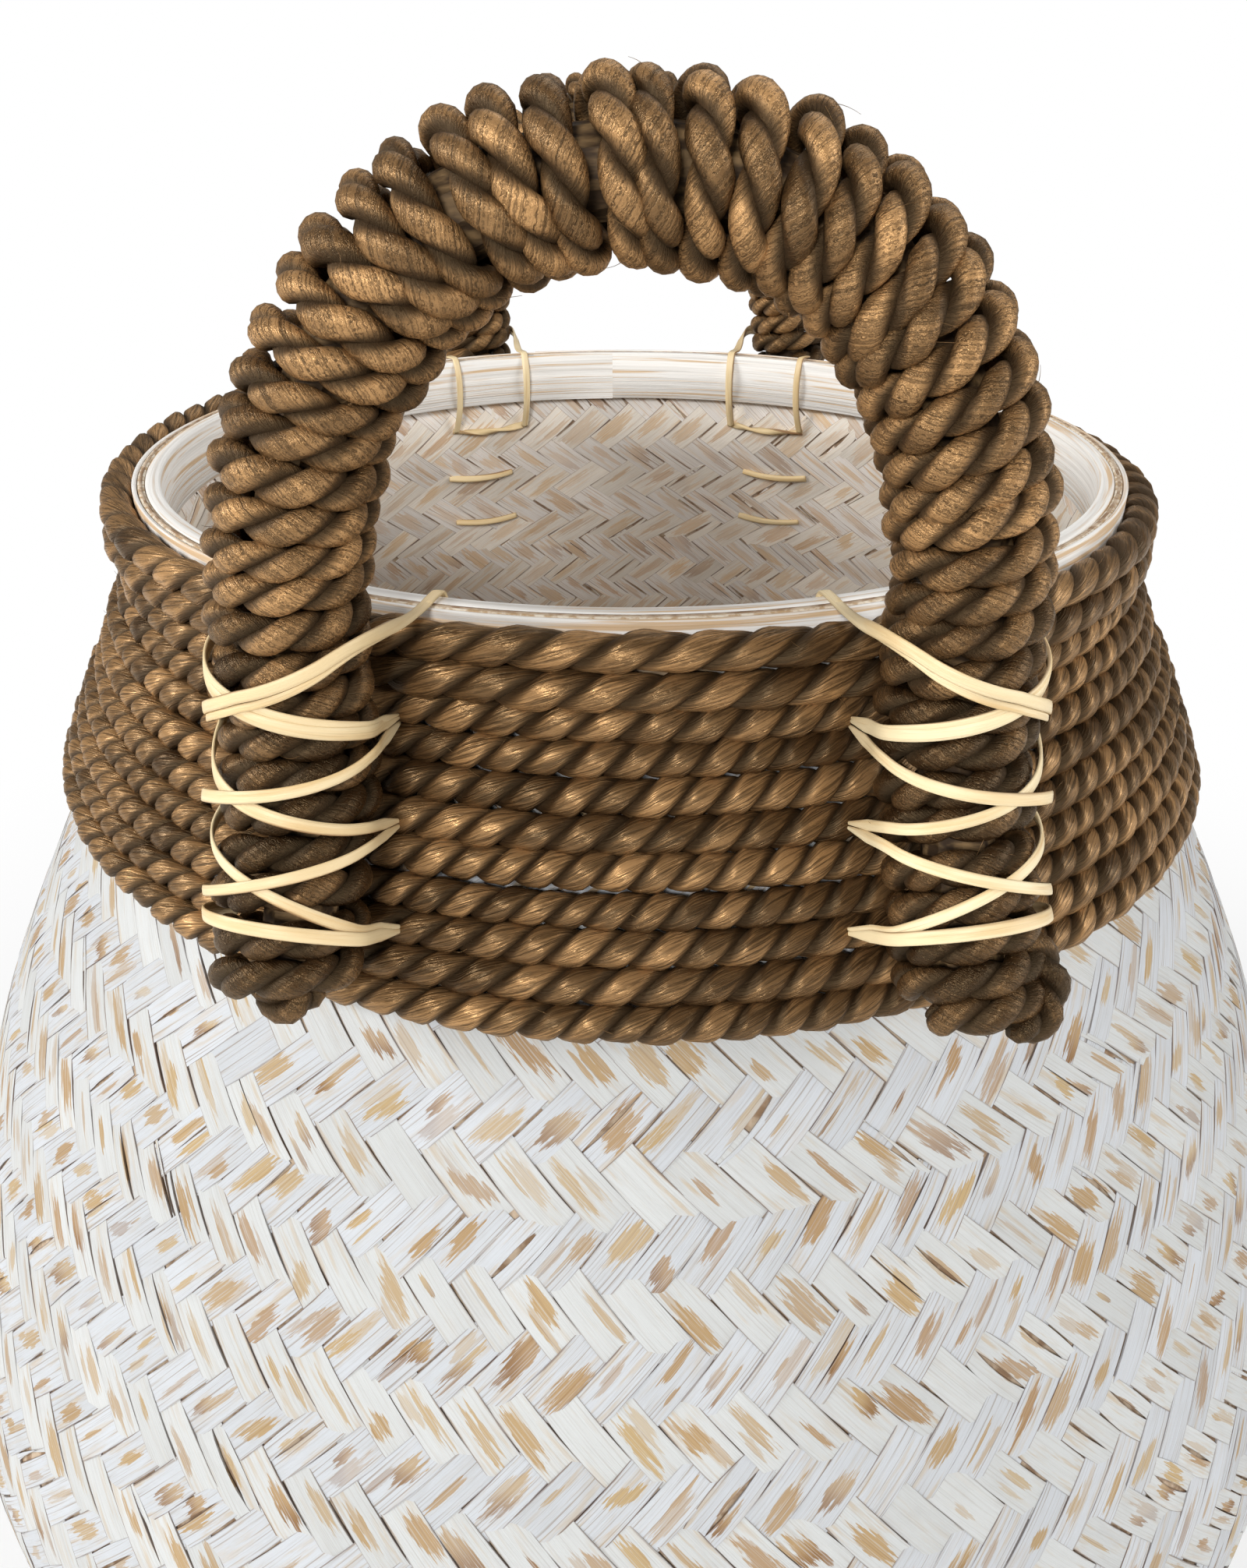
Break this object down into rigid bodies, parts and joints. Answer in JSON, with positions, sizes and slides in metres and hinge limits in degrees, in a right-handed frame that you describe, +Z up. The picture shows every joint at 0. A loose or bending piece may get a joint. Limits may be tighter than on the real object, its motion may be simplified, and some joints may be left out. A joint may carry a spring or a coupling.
{
  "type": "belly basket",
  "caption": "Round-bellied woven bamboo basket with a rope-bound neck and two rope-wrapped arch handles laced to it.",
  "frame": {"origin": "under the middle of the basket, on the surface it stands on", "axes": "+Z up out of the mouth, -Y towards the front handle, +X to the right seen from the front"},
  "size_m": [0.486, 0.486, 0.5022],
  "materials": {
    "whitewashed_weave": "bamboo strips with a worn white wash, matt",
    "whitewashed_hoop": "split bamboo with a white wash, satin",
    "twisted_rope": "two-strand plant fibre rope, bronze brown, soft sheen",
    "bare_pole": "bare cane pole",
    "rattan_split": "pale rattan peel, satin"
  },
  "bodies": {
    "root": {"woven_body": "whitewashed_weave", "inner_rim_hoop": "whitewashed_hoop", "outer_rim_hoop": "whitewashed_hoop", "neck_rope": "twisted_rope", "front_handle_core": "bare_pole", "front_handle_wrap": "twisted_rope", "rear_handle_core": "bare_pole", "rear_handle_wrap": "twisted_rope", "front_left_lacing": "rattan_split", "front_left_upper_stitch": "rattan_split", "front_left_lower_stitch": "rattan_split", "front_right_lacing": "rattan_split", "front_right_upper_stitch": "rattan_split", "front_right_lower_stitch": "rattan_split", "rear_left_lacing": "rattan_split", "rear_left_upper_stitch": "rattan_split", "rear_left_lower_stitch": "rattan_split", "rear_right_lacing": "rattan_split", "rear_right_upper_stitch": "rattan_split", "rear_right_lower_stitch": "rattan_split"}
  },
  "joints": []
}
